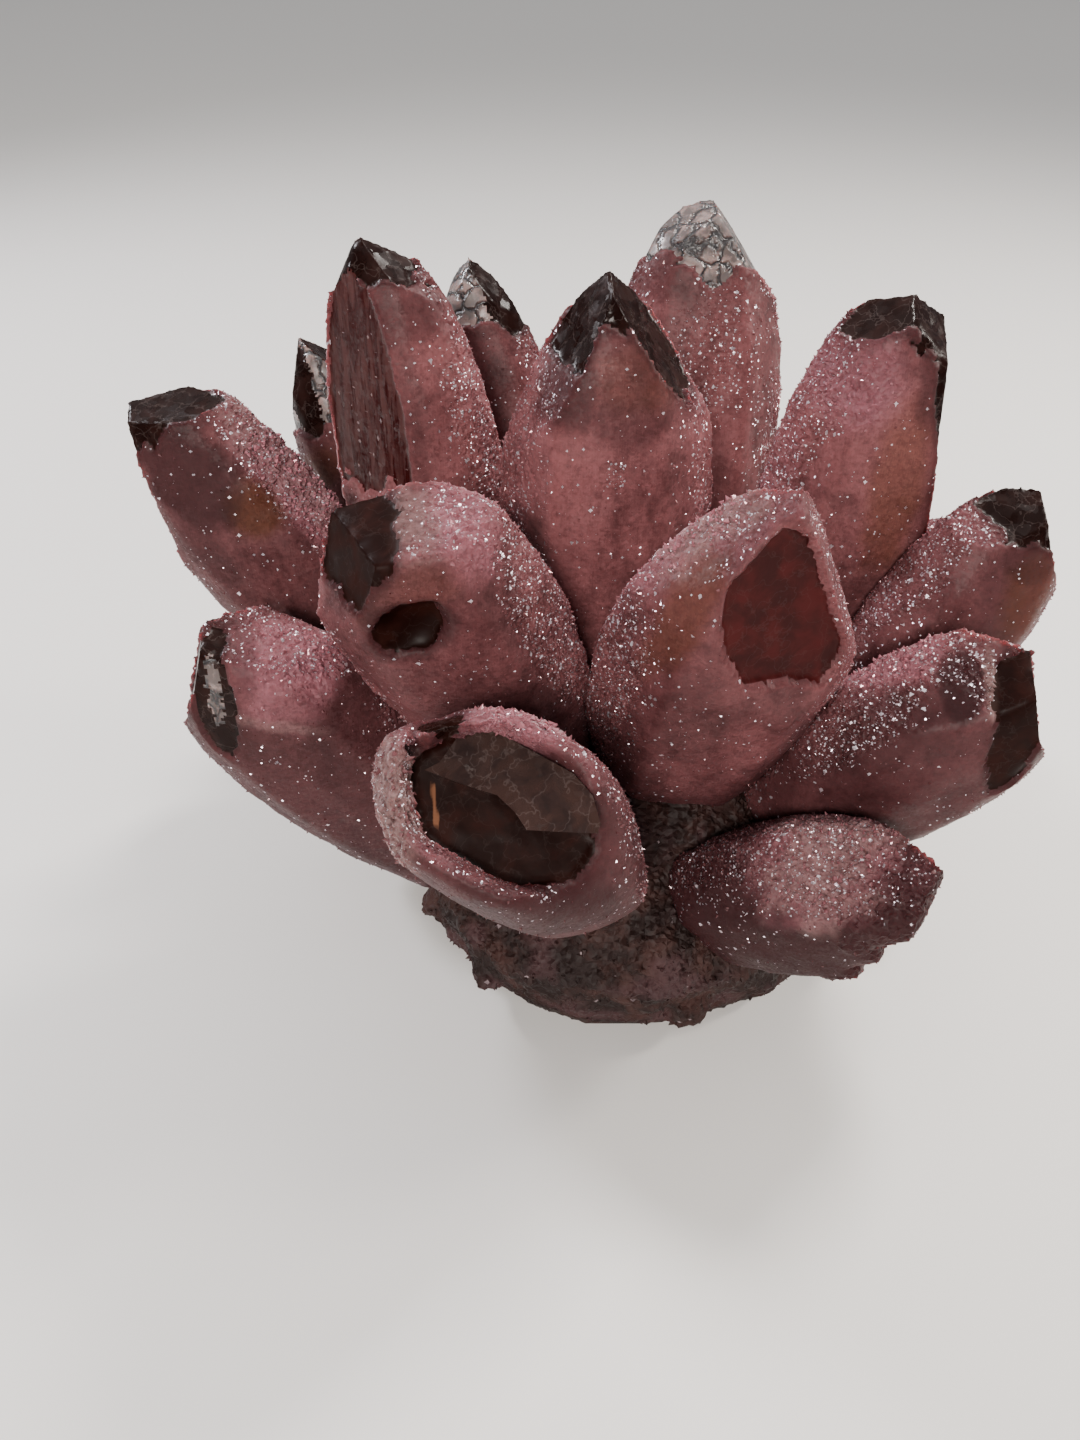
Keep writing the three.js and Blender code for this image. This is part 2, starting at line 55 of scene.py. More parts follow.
# Each point of the cluster, in millimetres: its root and tip, its glassy faces, its
# cap and its patches. A face is (bearing, tilt, place, finish, low): bearing 0 faces
# the viewer and 90 the viewer's right, tilt is between the point's axis and the
# face's normal, place is how far along the axis the face crosses it, and it is bare
# above low. The cap is bare all round above its height along the axis. A patch is
# (kind, strength, centre, half sizes, turn), with the centre given as the share along
# the axis and the distances to the right and to the front. Deep patches mark dark
# quartz, and some of them painted shade; the patches of light coming through the
# quartz are painted glow. A shard is a thin plate left standing over a window:
# (height along the axis, thickness, outline). The shade is painted shade: how dark
# the whole point's druse is painted, most on the lowest points, and soft how far its
# edges are rounded.
POINTS = {
    "point_top_front": {
        "root": (-1, -2, 26), "tip": (-3, -5, 95), "cap": (0.925, "smoky"), "shade": 0.0,
        "faces": [(75, 55, 1.0, "smoky", 0.80), (-70, 60, 1.0, "smoky", 0.87),
                  (180, 50, 1.02, "smoky", 0.84)],
        "patches": [("deep", 0.8, (0.83, -4.5, 3), (4.5, 4, 6), 0),
                    ("deep", 0.5, (0.80, 2, 7), (3, 5, 5), 0),
                    ("painted_glow", 0.35, (0.86, 3, 6), (3.5, 4.5, 6), 0),
                    ("glint", 0.8, (0.71, 0.3, 8.6), (2.4, 1, 4), 0)],
    },
    "point_top_back": {
        "root": (9, 11, 26), "tip": (11.5, 26, 97), "cap": (0.865, "pale"), "shade": 0.1,
        "faces": [(75, 52, 1.0, "pale", 0.82), (180, 45, 1.0, "smoky", 0.80)],
        "patches": [("glint", 0.5, (0.72, 2, 6), (8, 6, 8), 0)],
    },
    "point_top_left": {
        "root": (-12, 4, 26), "tip": (-30, 6, 96), "cap": (0.945, "smoky"), "shade": 0.05,
        "faces": [(-42, 80, 1.28, "streaked", 0.60), (70, 52, 0.99, "smoky", 0.92),
                  (170, 50, 1.0, "smoky", 0.84)],
        "patches": [("glint", 0.8, (0.62, 7, 5), (14, 4, 7), 0),
                    ("deep", 0.6, (0.89, 1, 4), (3.5, 6, 7), 0),
                    ("deep", 0.4, (0.68, -1.5, 7), (12, 1.6, 6), 10)],
    },
    "point_top_right": {
        "root": (16, 4, 26), "tip": (34, 4, 92), "cap": (0.915, "smoky"), "shade": 0.05,
        "faces": [(-62, 44, 0.97, "smoky", 0.86), (80, 70, 1.17, "smoky", 0.55),
                  (180, 45, 0.98, "smoky", 0.82)],
        "patches": [("smoky", 1.0, (0.80, 9.6, 3.5), (10, 2.2, 7), -28),
                    ("painted_glow", 0.5, (0.67, 6, 8), (10, 3.4, 7), -15),
                    ("deep", 0.7, (0.86, 5.5, 4.5), (5, 3, 6), -20),
                    ("frost", 0.85, (0.84, -4, 4), (6, 5, 7), 0),
                    ("glint", 0.7, (0.66, -8, 4), (14, 4, 7), 0)],
    },
    "point_back_small": {
        "root": (-6, 13, 28), "tip": (-21, 28, 88), "cap": (0.86, "pale"),
        "faces": [(60, 60, 1.02, "smoky", 0.82), (180, 50, 1.0, "smoky", 0.82)],
        "patches": [("smoky", 1.0, (0.90, 4.6, 1), (5, 2.6, 6), 0)],
    },
    "point_left_behind": {
        "root": (-21, 13, 24), "tip": (-44.5, 24, 79), "cap": (0.80, "pale"),
        "faces": [(-90, 58, 1.0, "smoky", 0.72), (90, 55, 1.0, "smoky", 0.85),
                  (180, 50, 1.0, "smoky", 0.80)],
        "patches": [("smoky", 1.0, (0.90, -2.5, 3), (7, 2.6, 6), 0),
                    ("painted_glow", 0.6, (0.72, -3.6, 5.8), (2.6, 3.4, 5), 0)],
    },
    "point_left_high": {
        "root": (-20, -4, 25), "tip": (-58.5, -2, 82), "cap": (0.915, "smoky"), "shade": 0.45,
        "faces": [(60, 34, 0.955, "smoky", 0.86), (-80, 66, 1.08, "smoky", 0.62),
                  (180, 50, 1.0, "smoky", 0.80)],
        "patches": [("deep", 0.9, (0.84, -0.5, 5), (9, 5.6, 7), 12),
                    ("painted_glow", 0.95, (0.725, 3, 6), (3.3, 3, 6), 0),
                    ("deep", 0.7, (0.74, -5.5, 4), (9, 3.5, 7), 0),
                    ("frost", 0.9, (0.74, 8.2, 1.5), (12, 2.7, 6), 0),
                    ("ash", 0.4, (0.74, 8.4, 1.5), (12, 2.4, 6), 0),
                    ("glint", 1.0, (0.74, 8, 2), (13, 3, 7), 0)],
    },
    "point_left_low": {
        "root": (-21, -18, 15), "tip": (-51, -23, 62), "cap": (0.955, "smoky"), "shade": 0.8,
        "faces": [(-80, 38, 0.96, "smoky", 0.60), (180, 50, 1.0, "smoky", 0.80)],
        "patches": [("smoky", 1.0, (0.86, -1.8, 5.5), (8, 2.3, 7), 35),
                    # A pale strip in the dark band: painted crackle highlights.
                    ("pale", 1.0, (0.87, -1.4, 5.5), (4.5, 0.9, 7), 35),
                    ("frost", 0.85, (0.82, 6.6, 3), (5.5, 6, 7), 0),
                    ("ash", 0.3, (0.74, 2.8, 7), (5.5, 0.8, 5), -45),
                    ("deep", 0.7, (0.88, 3.6, 4), (4, 1.6, 7), 30),
                    ("deep", 0.6, (0.74, 4.5, 6), (4, 3.5, 6), -30)],
    },
    "point_front_left": {
        "root": (-8, -14, 27), "tip": (-28, -26, 79), "cap": (0.985, "smoky"),
        "faces": [(-55, 52, 1.02, "hollow", 0.84), (180, 50, 1.04, "smoky", 0.84)],
        "patches": [("hollow", 1.0, (0.915, -3.4, 0.8), (3.4, 4.8, 7), 0),
                    ("ash", 0.45, (0.915, 3.2, 0), (2.4, 2.2, 5), 0),
                    ("frost", 0.9, (0.88, 7.4, -0.5), (5, 3.4, 7), 0),
                    ("painted_glow", 0.3, (0.85, 1, 6), (2.5, 8, 5), 0),
                    # Darker round the pit: painted shade.
                    ("deep", 0.9, (0.77, -1.5, 7), (4.5, 6, 6), 0),
                    ("glint", 1.0, (0.62, 11, 3), (14, 3, 7), 0)],
        "pit": (0.77, -1.5, 7.5),
    },
    "point_front_broken": {
        "root": (-7, -20, 15), "tip": (-15.5, -52, 62), "cap": (1.2, "smoky"), "shade": 0.8, "soft": 120,
        "faces": [(60, 13, 0.87, "hollow", 0.3)],
        "patches": [("smoky", 1.0, (0.91, -4.8, -9), (5, 2.3, 1.9), 0),
                    ("ash", 0.7, (0.95, -9.8, -1), (6, 2.2, 8), 0),
                    ("rough", 0.5, (0.95, -9.8, -1), (6, 2.2, 8), 0),
                    ("groove", 1.0, (0.94, -7.2, -4), (6, 0.7, 4.6), 0),
                    ("painted_glow", 1.0, (0.93, -6.3, -0.8), (4, 0.4, 3.4), 0),
                    # Darker lower rim: painted shade.
                    ("deep", 0.95, (0.80, 2, 10), (10, 14, 5), 0),
                    ("rough", 0.5, (0.92, 5, -9), (6, 9, 3), 0),
                    ("frost", 0.8, (0.92, 5, -8.5), (6, 9, 3.5), 0)],
        "shard": (0.905, 0.8, [(-6.9, -4.6), (-3.9, -3.0), (-1.5, -1.8), (0.1, -1.1), (1.7, 0.8), (2.7, 2.7),
                               (5.9, 3.3), (9.4, 3.9), (9.8, 3.0), (9.4, 0.2), (7.8, -2.2), (4.6, -4.6),
                               (1.6, -6.8), (-1.0, -8.6), (-2.1, -8.9), (-5.3, -5.2)]),
    },
    "point_front_right": {
        "root": (5.5, -14, 22), "tip": (15, -30, 82), "cap": (0.985, "smoky"),
        "faces": [(18, 71, 1.02, "window", 0.3), (180, 50, 1.0, "smoky", 0.84)],
        "patches": [("window", 1.0, (0.81, 1.4, 5), (9.8, 7.9, 9), 0),
                    ("druse", 1.0, (0.60, 2, 7), (3.2, 9, 7), 0),
                    ("ash", 0.6, (0.875, -6.4, -0.8), (6.4, 1.1, 4), 38),
                    ("painted_glow", 0.6, (0.75, -8.0, 3.8), (8, 2.0, 6), 12),
                    ("frost", 0.8, (0.84, -9.6, -3), (9, 2.6, 6), 38),
                    ("glint", 1.0, (0.78, 9.6, -3), (2, 1.6, 5), 0),
                    ("glint", 1.0, (0.55, -12.5, 1), (14, 3, 7), 0)],
    },
    "point_right_high": {
        "root": (25, -8, 20), "tip": (51.5, -7, 71), "cap": (0.90, "smoky"), "shade": 0.45,
        "faces": [(75, 44, 0.98, "smoky", 0.80), (-50, 52, 0.98, "smoky", 0.88),
                  (180, 50, 1.0, "smoky", 0.80)],
        "patches": [("painted_glow", 0.7, (0.80, 4.2, 6), (6, 3.4, 6), -20),
                    ("deep", 0.7, (0.87, 1, 4), (3.5, 5, 6), 0),
                    ("glint", 0.9, (0.76, -7.4, 1.5), (9, 2.4, 6), 0)],
    },
    "point_right_middle": {
        "root": (19, -18, 17.8), "tip": (46.5, -28, 60.8), "cap": (0.955, "smoky"), "shade": 0.7,
        "faces": [(80, 36, 0.955, "hollow", 0.60), (180, 50, 1.0, "smoky", 0.80)],
        "patches": [("hollow", 1.0, (0.855, 1.4, 4), (9, 3.0, 7), -38),
                    ("ash", 0.9, (0.89, -3.6, 3.4), (3.2, 0.7, 5), -30),
                    ("deep", 1.0, (0.84, -5.6, 2.5), (3, 2.8, 6), 0),
                    ("deep", 0.8, (0.66, -8.5, 5), (9, 5, 4.5), 0),
                    ("frost", 0.9, (0.76, -10, -4), (13, 4, 4.5), 0),
                    ("glint", 1.0, (0.66, -10.5, 0), (11, 3.4, 7), 0)],
    },
    "point_right_low": {
        "root": (4, -24, 14), "tip": (37, -43, 39), "cap": (1.2, "smoky"), "shade": 1.0,
        "faces": [(180, 50, 1.0, "smoky", 0.80)],
        "patches": [("ash", 0.5, (0.74, -8.5, 0), (7, 4, 8), 0),
                    ("frost", 0.45, (0.74, -8.5, 0), (9, 5, 8), 0),
                    ("glint", 0.8, (0.74, -8, 1), (10, 6, 5), 0),
                    ("rough", 0.6, (0.92, -2, 2), (9, 9, 12), 0),
                    ("rough", 1.0, (0.80, 9, 0), (12, 6, 12), 0)],
    },
    "point_back_high": {
        "root": (2, 19, 24), "tip": (2, 52, 76), "cap": (0.93, "smoky"),
        "faces": [(180, 45, 1.0, "smoky", 0.78), (90, 55, 1.0, "smoky", 0.86),
                  (-90, 55, 1.02, "pale", 0.84)],
    },
    "point_back_right_high": {
        "root": (17, 17, 22), "tip": (42, 40, 66), "cap": (0.94, "smoky"),
        "faces": [(180, 50, 1.0, "smoky", 0.76), (80, 50, 1.0, "smoky", 0.84)],
    },
    "point_back_left_high": {
        "root": (-13, 19, 22), "tip": (-37, 48, 61), "cap": (0.93, "smoky"),
        "faces": [(180, 45, 1.0, "smoky", 0.78), (-80, 50, 1.0, "pale", 0.84)],
    },
    "point_right_behind": {
        "root": (23, 8, 20), "tip": (59, 19, 51), "cap": (0.93, "smoky"),
        "faces": [(180, 50, 1.0, "smoky", 0.78), (60, 45, 0.98, "smoky", 0.84)],
    },
    "point_left_rear": {
        "root": (-23, 9, 14), "tip": (-60, 20, 38), "cap": (0.93, "smoky"),
        "faces": [(180, 50, 1.0, "smoky", 0.78), (-60, 45, 0.98, "smoky", 0.84)],
    },
    "point_back_low": {
        "root": (8, 22, 14), "tip": (15, 58, 34), "cap": (0.92, "smoky"),
        "faces": [(180, 45, 1.0, "smoky", 0.76), (60, 50, 1.0, "pale", 0.84)],
    },
    "point_back_left_low": {"root": (-12, 22, 13), "tip": (-28, 54, 26), **PLAIN_END},
    "point_back_right_low": {"root": (22, 18, 12), "tip": (48, 42, 27), **PLAIN_END},
    "point_right_foot": {"root": (24, -3, 11), "tip": (54, -6, 24), **PLAIN_END},
    "point_left_foot": {"root": (-22, -2, 10), "tip": (-50, -3, 22), **PLAIN_END},
}
FINISHES = ["druse", "smoky", "window", "pale", "streaked", "hollow", "sparkling"]
MASKS = ["frost", "painted_glow", "deep", "ash", "glint"]
SHAPERS = ["rough", "groove"]
BEST_SIDE = list(POINTS)[:15]
# Painted shade on the points that give no shade of their own.
USUAL_SHADE = 0.4
USUAL_SOFT = 16

# A vertex is on a face when it lies within the reach of its plane and faces its way. The
# hidden points have wider grains, and a window lies several times the usual sink deep.
FACE_REACH = 0.16
FACE_COSINE = 0.93
HIDDEN_COARSER = 1.4
WINDOW_SINK = 3.0

# A small crystal has six corners round its foot and one at its tip, and its foot is
# rooted a little way into the druse.
CRYSTAL_SIDES = 6
CRYSTAL_ROOT = 0.12

# The matrix is flat up to this height, and its noise starts from this seed.
SAWN = 0.3
MATRIX_SEED = 77

QUARTZ_IOR = 1.544
PLAIN_STRETCH = (1.0, 1.0, 1.0)

# Each lamp: its place, what it is turned to, its size, power and colour.
MIDDLE = (0.0, 0.0, 0.045)
LAMPS = {
    "ceiling": ((0.0, 1.5, 2.8), (0.0, 1.2, 0.0), 5.0, 78.0, (1.0, 0.98, 0.96)),
    "key light": ((0.25, 0.24, 0.50), MIDDLE, 0.11, 3.6, (1.0, 0.95, 0.90)),
    "left rim light": ((-0.42, 0.26, 0.36), MIDDLE, 0.09, 3.0, (0.96, 0.95, 1.0)),
    "right rim light": ((0.44, 0.06, 0.26), MIDDLE, 0.07, 1.6, (1.0, 0.93, 0.86)),
    "front fill": ((-0.10, -0.52, 0.36), MIDDLE, 0.14, 4.8, (1.0, 0.94, 0.88)),
}
SKY = (0.80, 0.82, 0.86, 1.0)
SKY_STRENGTH = 0.26
FLOOR_HALF = 6.0


class DruseSettings(bpy.types.PropertyGroup):
    grain: bpy.props.FloatProperty(
        name="Grain", description="Width of one grain of the druse",
        default=0.00045, unit="LENGTH", precision=5)
    crust: bpy.props.FloatProperty(
        name="Crust", description="How far the druse stands out over the bare point",
        default=0.0002, unit="LENGTH", precision=5)
    relief: bpy.props.FloatProperty(
        name="Relief", description="Height of the grains where the druse is coarsest",
        default=0.00030, unit="LENGTH", precision=5)
    spread: bpy.props.FloatProperty(
        name="Small crystals", description="Small standing crystals to each square millimetre",
        default=0.5)
    body: bpy.props.FloatVectorProperty(
        name="Body", description="Colour of the druse over the body of a point",
        subtype="COLOR", default=(0.225, 0.083, 0.088))
    # Dark is the quartz showing through, and also the colour of the painted shade in the valleys, on
    # downward faces and over the low points.
    dark: bpy.props.FloatVectorProperty(
        name="Dark", description="Colour where the quartz under the druse shows through",
        subtype="COLOR", default=(0.020, 0.0058, 0.0065))
    # Frost is thick sugary druse; lying on up-facing faces and edges, its lighter tone is also painted light
    # from above and painted edge sheen.
    frost: bpy.props.FloatVectorProperty(
        name="Frost", description="Colour of the thick sugary druse along the edges",
        subtype="COLOR", default=(0.24, 0.090, 0.110))
    # Painted glow: colour painted where light would come through the quartz.
    painted_glow: bpy.props.FloatVectorProperty(
        name="Painted glow", description="Colour of the patches where light comes through",
        subtype="COLOR", default=(0.125, 0.042, 0.021))


class TipSettings(bpy.types.PropertyGroup):
    sink: bpy.props.FloatProperty(
        name="Sink", description="How far the bare glassy faces lie under the druse",
        default=0.00035, unit="LENGTH", precision=5)
    smoky: bpy.props.FloatVectorProperty(
        name="Smoky", description="Colour of the smoky quartz tips",
        subtype="COLOR", default=(0.0082, 0.0024, 0.0018))
    window: bpy.props.FloatVectorProperty(
        name="Window", description="Colour of the clear windows into the points",
        subtype="COLOR", default=(0.026, 0.0032, 0.0032))
    hollow: bpy.props.FloatVectorProperty(
        name="Hollow", description="Colour of the smooth dark facets and of the broken point's window",
        subtype="COLOR", default=(0.0085, 0.0019, 0.0012))
    pale: bpy.props.FloatVectorProperty(
        name="Pale", description="Colour of the cracked, light caps",
        subtype="COLOR", default=(0.27, 0.19, 0.175))


class MatrixSettings(bpy.types.PropertyGroup):
    grain: bpy.props.FloatProperty(
        name="Grain", description="Width of one grain of the matrix",
        default=0.00066, unit="LENGTH", precision=5)
    colour: bpy.props.FloatVectorProperty(
        name="Colour", description="Colour of the rock",
        subtype="COLOR", default=(0.0105, 0.0040, 0.0033))
    sawn: bpy.props.FloatVectorProperty(
        name="Sawn", description="Colour of the sawn underside",
        subtype="COLOR", default=(0.16, 0.12, 0.12))


class StageSettings(bpy.types.PropertyGroup):
    floor: bpy.props.FloatVectorProperty(
        name="Floor", description="Colour of the plain floor",
        subtype="COLOR", default=(0.70, 0.68, 0.66))
    camera: bpy.props.FloatVectorProperty(
        name="Camera", description="Place of the camera",
        subtype="TRANSLATION", default=(-0.0105, -0.119, 0.125))
    pitch: bpy.props.FloatProperty(
        name="Pitch", description="How far down the camera looks",
        default=math.radians(39), subtype="ANGLE")
    lens: bpy.props.FloatProperty(
        name="Lens", description="Focal length in millimetres on a 36 mm sensor",
        default=25.0)


def cell_noise(cells, seed):
    """A steady random number from 0 to 1 for each whole-numbered cell."""
    mixed = cells[:, 0] * 73856093 ^ cells[:, 1] * 19349663 ^ cells[:, 2] * 83492791
    mixed = (mixed ^ seed * 40503) & 0xFFFFFFFF
    mixed = ((mixed ^ (mixed >> 13)) * 12741261) & 0xFFFFFFFF
    return ((mixed ^ (mixed >> 16)) & 0xFFFF) / 65535.0


def soft_noise(places, size, seed):
    """Smooth noise from 0 to 1, with lumps about as wide as size."""
    spots = places / size
    low = np.floor(spots).astype(np.int64)
    part = spots - low
    part = part * part * (3 - 2 * part)
    total = np.zeros(len(places))
    for corner in itertools.product((0, 1), repeat=3):
        weight = np.prod(np.where(corner, part, 1 - part), axis=1)
        total += weight * cell_noise(low + np.array(corner), seed)
    return total


def cloudy_noise(places, size, seed):
    """Soft noise with a second, finer layer in it."""
    return 0.65 * soft_noise(places, size, seed) + 0.35 * soft_noise(places, size / 2.3, seed + 1)


def wobble(places, size, seed):
    """Cloudy noise from -0.5 to 0.5."""
    return cloudy_noise(places, size, seed) - 0.5


def step_between(values, low, high):
    """Rises smoothly from 0 at low to 1 at high."""
    share = np.clip((values - low) / (high - low), 0, 1)
    return share * share * (3 - 2 * share)


def unit(vector):
    return vector / np.linalg.norm(vector)


def directions_of(spec):
    """A point's root, length, and directions: along it, to the front and to the right."""
    root = np.array(spec["root"], float)
    span = np.array(spec["tip"], float) - root
    length = np.linalg.norm(span)
    axis = span / length
    front = np.array((0.0, -1.0, 0.0))
    front = unit(front - axis * front.dot(axis))
    return root, length, axis, front, np.cross(axis, front)


def plane_of(spec, face):
    """A face's outward normal and its distance from the origin along it."""
    root, length, axis, front, right = directions_of(spec)
    bearing, tilt = math.radians(face[0]), math.radians(face[1])
    aside = front * math.cos(bearing) + right * math.sin(bearing)
    normal = axis * math.cos(tilt) + aside * math.sin(tilt)
    return normal, normal.dot(root + axis * length * face[2])


def fine_skin(node, grain):
    """The node's solid as an even net of small quads: places in millimetres, and quads."""
    work = bpy.data.objects.new("work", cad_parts[node].data.copy())
    bpy.context.scene.collection.objects.link(work)
    weld = work.modifiers.new("Weld", "WELD")
    weld.merge_threshold = 1e-6
    remesh = work.modifiers.new("Remesh", "REMESH")
    remesh.mode = "VOXEL"
    remesh.voxel_size = grain
    shape = work.evaluated_get(bpy.context.evaluated_depsgraph_get()).to_mesh()
    places = np.empty(len(shape.vertices) * 3)
    shape.vertices.foreach_get("co", places)
    corners = np.empty(len(shape.loops), np.int64)
    shape.loops.foreach_get("vertex_index", corners)
    mesh = work.data
    bpy.data.objects.remove(work)
    bpy.data.meshes.remove(mesh)
    return places.reshape(-1, 3) / MM, corners.reshape(-1, 4)


def net_of(places, quads):
    """The net's edges, each once as a pair of vertices, and how many meet at each vertex."""
    pairs = np.concatenate([quads[:, [0, 1]], quads[:, [1, 2]], quads[:, [2, 3]], quads[:, [3, 0]]])
    edges = np.unique(np.sort(pairs, axis=1), axis=0)
    return edges, np.bincount(edges.ravel(), minlength=len(places)).astype(float)


def neighbour_mean(values, net):
    """Each vertex's mean over its neighbours."""
    edges, count = net
    columns = values.reshape(len(values), -1)
    total = np.zeros_like(columns)
    for one, other in ((0, 1), (1, 0)):
        for part in range(columns.shape[1]):
            total[:, part] += np.bincount(edges[:, one], columns[edges[:, other], part], len(values))
    return (total / count[:, None]).reshape(values.shape)


def spread_over(values, net, turns):
    """Values blurred over the net."""
    values = values.astype(float)
    for _ in range(turns):
        values = 0.5 * values + 0.5 * neighbour_mean(values, net)
    return values


def rounded(places, net, free, turns):
    """The net with its free vertices drawn towards their neighbours, turn by turn."""
    for _ in range(turns):
        moved = neighbour_mean(places, net)
        places = np.where(free[:, None], 0.5 * places + 0.5 * moved, places)
    return places


def normals_of(places, quads):
    """The outward normal at each vertex."""
    across = np.cross(places[quads[:, 2]] - places[quads[:, 0]], places[quads[:, 3]] - places[quads[:, 1]])
    total = np.zeros_like(places)
    for corner in range(4):
        for part in range(3):
            total[:, part] += np.bincount(quads[:, corner], across[:, part], len(places))
    return total / np.maximum(np.linalg.norm(total, axis=1, keepdims=True), 1e-9)


def in_two(quads, random):
    """Each quad as two triangles, across one diagonal or the other at random."""
    turn = random.random(len(quads)) < 0.5
    first = np.where(turn[:, None], quads[:, [0, 1, 2]], quads[:, [1, 2, 3]])
    second = np.where(turn[:, None], quads[:, [0, 2, 3]], quads[:, [1, 3, 0]])
    return np.stack([first, second], axis=1).reshape(-1, 3)


def small_crystals(places, normals, chance, swell, random, least=0.13, most=0.30):
    """Small six-sided pyramids standing on some of the vertices: places and triangles."""
    chosen = np.flatnonzero(random.random(len(places)) < chance)
    count = len(chosen)
    lean = normals[chosen] + 1.3 * (random.random((count, 3)) - 0.5)
    lean /= np.linalg.norm(lean, axis=1, keepdims=True)
    side = np.cross(lean, random.random((count, 3)) - 0.5)
    side /= np.linalg.norm(side, axis=1, keepdims=True)
    other = np.cross(lean, side)
    radius = least + (most - least) * random.random((count, 1)) ** 2
    radius *= swell[chosen, None]
    height = radius * (0.9 + 0.9 * random.random((count, 1)))
    foot = places[chosen] - lean * CRYSTAL_ROOT
    corners = []
    for turn in range(CRYSTAL_SIDES):
        angle = turn * math.pi / 3
        corners.append(foot + radius * (math.cos(angle) * side + math.sin(angle) * other))
    corners.append(foot + lean * (height + CRYSTAL_ROOT))
    first = np.arange(count)[:, None, None] * len(corners)
    fan = np.array([[turn, (turn + 1) % CRYSTAL_SIDES, CRYSTAL_SIDES] for turn in range(CRYSTAL_SIDES)])
    return np.stack(corners, axis=1).reshape(-1, 3), (first + fan[None]).reshape(-1, 3), chosen


def shard_plate(spec):
    """A thin broken plate over a point's window: places and triangles."""
    height, thick, outline = spec["shard"]
    root, length, axis, front, right = directions_of(spec)
    ring = np.array([right * aside + front * forward for aside, forward in outline])
    ring += root + axis * length * height
    middle = ring.mean(axis=0, keepdims=True)
    upper = np.concatenate([ring, middle])
    lower = upper - axis * thick + 0.4 * (middle - upper) * thick / 8
    count = len(outline)
    triangles = []
    for one in range(count):
        two = (one + 1) % count
        triangles.append((one, two, count))
        triangles.append((two + count + 1, one + count + 1, 2 * count + 1))
        triangles.append((two, one, one + count + 1))
        triangles.append((two, one + count + 1, two + count + 1))
    return np.concatenate([upper, lower]), np.array(triangles)


def built_mesh(name, places, triangles, finishes, smooth, masks):
    """A mesh in metres with a finish for each triangle and a mask value for each vertex."""
    mesh = bpy.data.meshes.new(name)
    mesh.vertices.add(len(places))
    mesh.vertices.foreach_set("co", (places * MM).astype(np.float32).ravel())
    mesh.loops.add(len(triangles) * 3)
    mesh.loops.foreach_set("vertex_index", triangles.astype(np.int32).ravel())
    mesh.polygons.add(len(triangles))
    mesh.polygons.foreach_set("loop_start", np.arange(0, len(triangles) * 3, 3, dtype=np.int32))
    mesh.polygons.foreach_set("material_index", finishes.astype(np.int32))
    mesh.polygons.foreach_set("use_smooth", smooth)
    for mask, values in masks.items():
        layer = mesh.attributes.new(mask, "FLOAT", "POINT")
        layer.data.foreach_set("value", values.astype(np.float32))
    mesh.update()
    mesh.validate()
    return mesh


def add(tree, kind, settings=None, **inputs):
    """A node with its settings, and its inputs given as values or as other nodes' outputs."""
    node = tree.nodes.new(kind)
    for key, value in (settings or {}).items():
        setattr(node, key, value)
    for key, value in inputs.items():
        feed(tree, node.inputs[key.replace("_", " ")], value)
    return node


def feed(tree, socket, value):
    """Gives a socket a value, the three parts of a colour, or another node's output."""
    if isinstance(value, bpy.types.NodeSocket):
        tree.links.new(value, socket)
    elif socket.type == "RGBA":
        socket.default_value = (*value, 1.0)
    else:
        socket.default_value = value


def maths(tree, operation, *values):
    node = add(tree, "ShaderNodeMath", {"operation": operation})
    for socket, value in zip(node.inputs, values):
        feed(tree, socket, value)
    return node.outputs[0]


def times(tree, first, second):
    return maths(tree, "MULTIPLY", first, second)


def raised(tree, base, mask, gain):
    """A base value, with the gain added to it as far as the mask shows."""
    return maths(tree, "ADD", base, times(tree, mask, gain))


def vector_maths(tree, operation, first, second=None):
    """A vector made of one or two others, or of one and the number that scales it."""
    node = add(tree, "ShaderNodeVectorMath", {"operation": operation})
    feed(tree, node.inputs[0], first)
    if second is not None:
        feed(tree, node.inputs["Scale" if operation == "SCALE" else 1], second)
    return node.outputs[0]


def blend_of(tree, share, first, second):
    """A mix of two colours."""
    node = add(tree, "ShaderNodeMix", {"data_type": "RGBA"})
    feed(tree, node.inputs[0], share)
    feed(tree, node.inputs[6], first)
    feed(tree, node.inputs[7], second)
    return node.outputs[2]


def laid_over(tree, tone, mask, strength, colour):
    """A tone with a colour laid over it where the mask shows."""
    return blend_of(tree, times(tree, mask, strength), tone, colour)


def ramp(tree, value, low, high):
    """Rises from 0 to 1 between low and high."""
    node = add(tree, "ShaderNodeMapRange", {"interpolation_type": "SMOOTHSTEP"})
    for socket, given in zip(node.inputs, (value, low, high, 0.0, 1.0)):
        feed(tree, socket, given)
    return node.outputs[0]


def toned(colour, factor):
    """A colour made lighter or darker."""
    return tuple(part * factor for part in colour)


def new_group(name, inputs, outputs):
    """An empty shader node group with named sockets: its tree, inputs and output node."""
    tree = bpy.data.node_groups.new(name, "ShaderNodeTree")
    for label, kind, default in inputs:
        socket = tree.interface.new_socket(label, in_out="INPUT", socket_type=kind)
        socket.default_value = default
    for label, kind in outputs:
        tree.interface.new_socket(label, in_out="OUTPUT", socket_type=kind)
    return tree, tree.nodes.new("NodeGroupInput").outputs, tree.nodes.new("NodeGroupOutput").inputs


